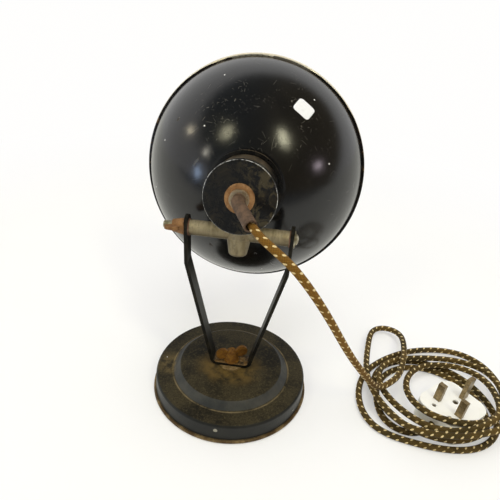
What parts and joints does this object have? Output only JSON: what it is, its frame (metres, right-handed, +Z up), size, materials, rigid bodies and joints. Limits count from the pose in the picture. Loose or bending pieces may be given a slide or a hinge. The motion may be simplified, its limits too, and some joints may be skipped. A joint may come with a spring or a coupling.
{
  "type": "table reflector lamp",
  "caption": "Reflector lamp on a stepped round base: a bent flat-bar yoke swivels on the base stud and a deep dome shade tilts in it; braided lead with a three-pin plug.",
  "frame": {"origin": "on the table under the stud, at the centre of the base's felt", "axes": "+Z up along the stud, X along the tilt bolt with its wing nut at -X, +Y the way the reflector faces"},
  "size_m": [0.3466, 0.1788, 0.2636],
  "materials": {
    "shade_enamel": "black gloss stove enamel outside, cream enamel inside and over the front of the rolled edge, worn",
    "base_enamel": "worn black enamel, dusty brown on the flats, chipped",
    "yoke_enamel": "satin black paint, worn at the edges",
    "neck_enamel": "dull black enamel, edge worn to bright metal",
    "iron": "bare casting",
    "plate_steel": "dull sheet steel",
    "felt": "green baize",
    "rusty_steel": "rusted steel",
    "dull_steel": "dull plated steel",
    "nickel": "dull nickel plate on a casting",
    "fibre": "red-brown vulcanised fibre",
    "sleeve_rubber": "perished brown rubber",
    "bakelite": "dark brown moulding",
    "brass": "dull brass",
    "bulb_glass": "pearl glass",
    "braid": "brown and olive braid with regular pale gold flecks",
    "plug_plastic": "white moulding",
    "fuse_ceramic": "cartridge fuse"
  },
  "bodies": {
    "base": {"base_cover": "base_enamel", "base_weight": "iron", "base_plate": "plate_steel", "plate_screw_1": "dull_steel", "plate_screw_2": "dull_steel", "plate_screw_3": "dull_steel", "base_felt": "felt", "base_stud": "dull_steel", "stud_washer": "dull_steel", "strap_washer": "rusty_steel", "cord_drop": "braid", "cord_coil": "braid", "cord_tail": "braid", "plug_cover": "plug_plastic", "plug_base": "plug_plastic", "plug_pin_line": "brass", "plug_pin_neutral": "brass", "plug_pin_earth": "brass", "plug_screw_1": "dull_steel", "plug_screw_2": "dull_steel", "plug_screw_3": "dull_steel", "plug_fuse": "fuse_ceramic"},
    "yoke": {"yoke_strap": "yoke_enamel", "pivot_bolt": "dull_steel", "fibre_washer_right": "fibre", "fibre_washer_left": "fibre", "bolt_head_washer": "dull_steel", "pivot_nut_washer": "rusty_steel"},
    "base_nut": {"base_wing_nut": "rusty_steel"},
    "pivot_nut": {"pivot_wing_nut": "rusty_steel"},
    "head": {"tee_bracket": "nickel", "bracket_screw_front": "dull_steel", "bracket_screw_back": "dull_steel", "neck_tube": "neck_enamel", "end_cap": "neck_enamel", "neck_collar": "neck_enamel", "shade": "shade_enamel", "flange_washer": "rusty_steel", "gland_nut": "brass", "entry_nipple": "brass", "lock_nut": "brass", "cord_sleeve": "sleeve_rubber", "lampholder_body": "bakelite", "lampholder_ring": "bakelite", "contact_right": "brass", "contact_left": "brass", "bulb_cap": "brass", "bulb_glass": "bulb_glass"}
  },
  "joints": [
    {"name": "yoke_swivel", "type": "hinge", "parent": "base", "child": "yoke", "pos_m": [0, 0, 0.0272], "axis": [0, 0, 1], "range_deg": [-30, 90]},
    {"name": "shade_tilt", "type": "hinge", "parent": "yoke", "child": "head", "pos_m": [0, 0, 0.1586], "axis": [1, 0, 0], "range_deg": [-30, 60], "deforming": ["cord_drop"]},
    {"name": "base_nut_turn", "type": "hinge", "parent": "base", "child": "base_nut", "pos_m": [0, 0, 0.0311], "axis": [0, 0, 1], "range_deg": [-90, 90]},
    {"name": "pivot_nut_turn", "type": "hinge", "parent": "yoke", "child": "pivot_nut", "pos_m": [-0.0417, 0, 0.1586], "axis": [-1, 0, 0], "range_deg": [-90, 90]}
  ]
}
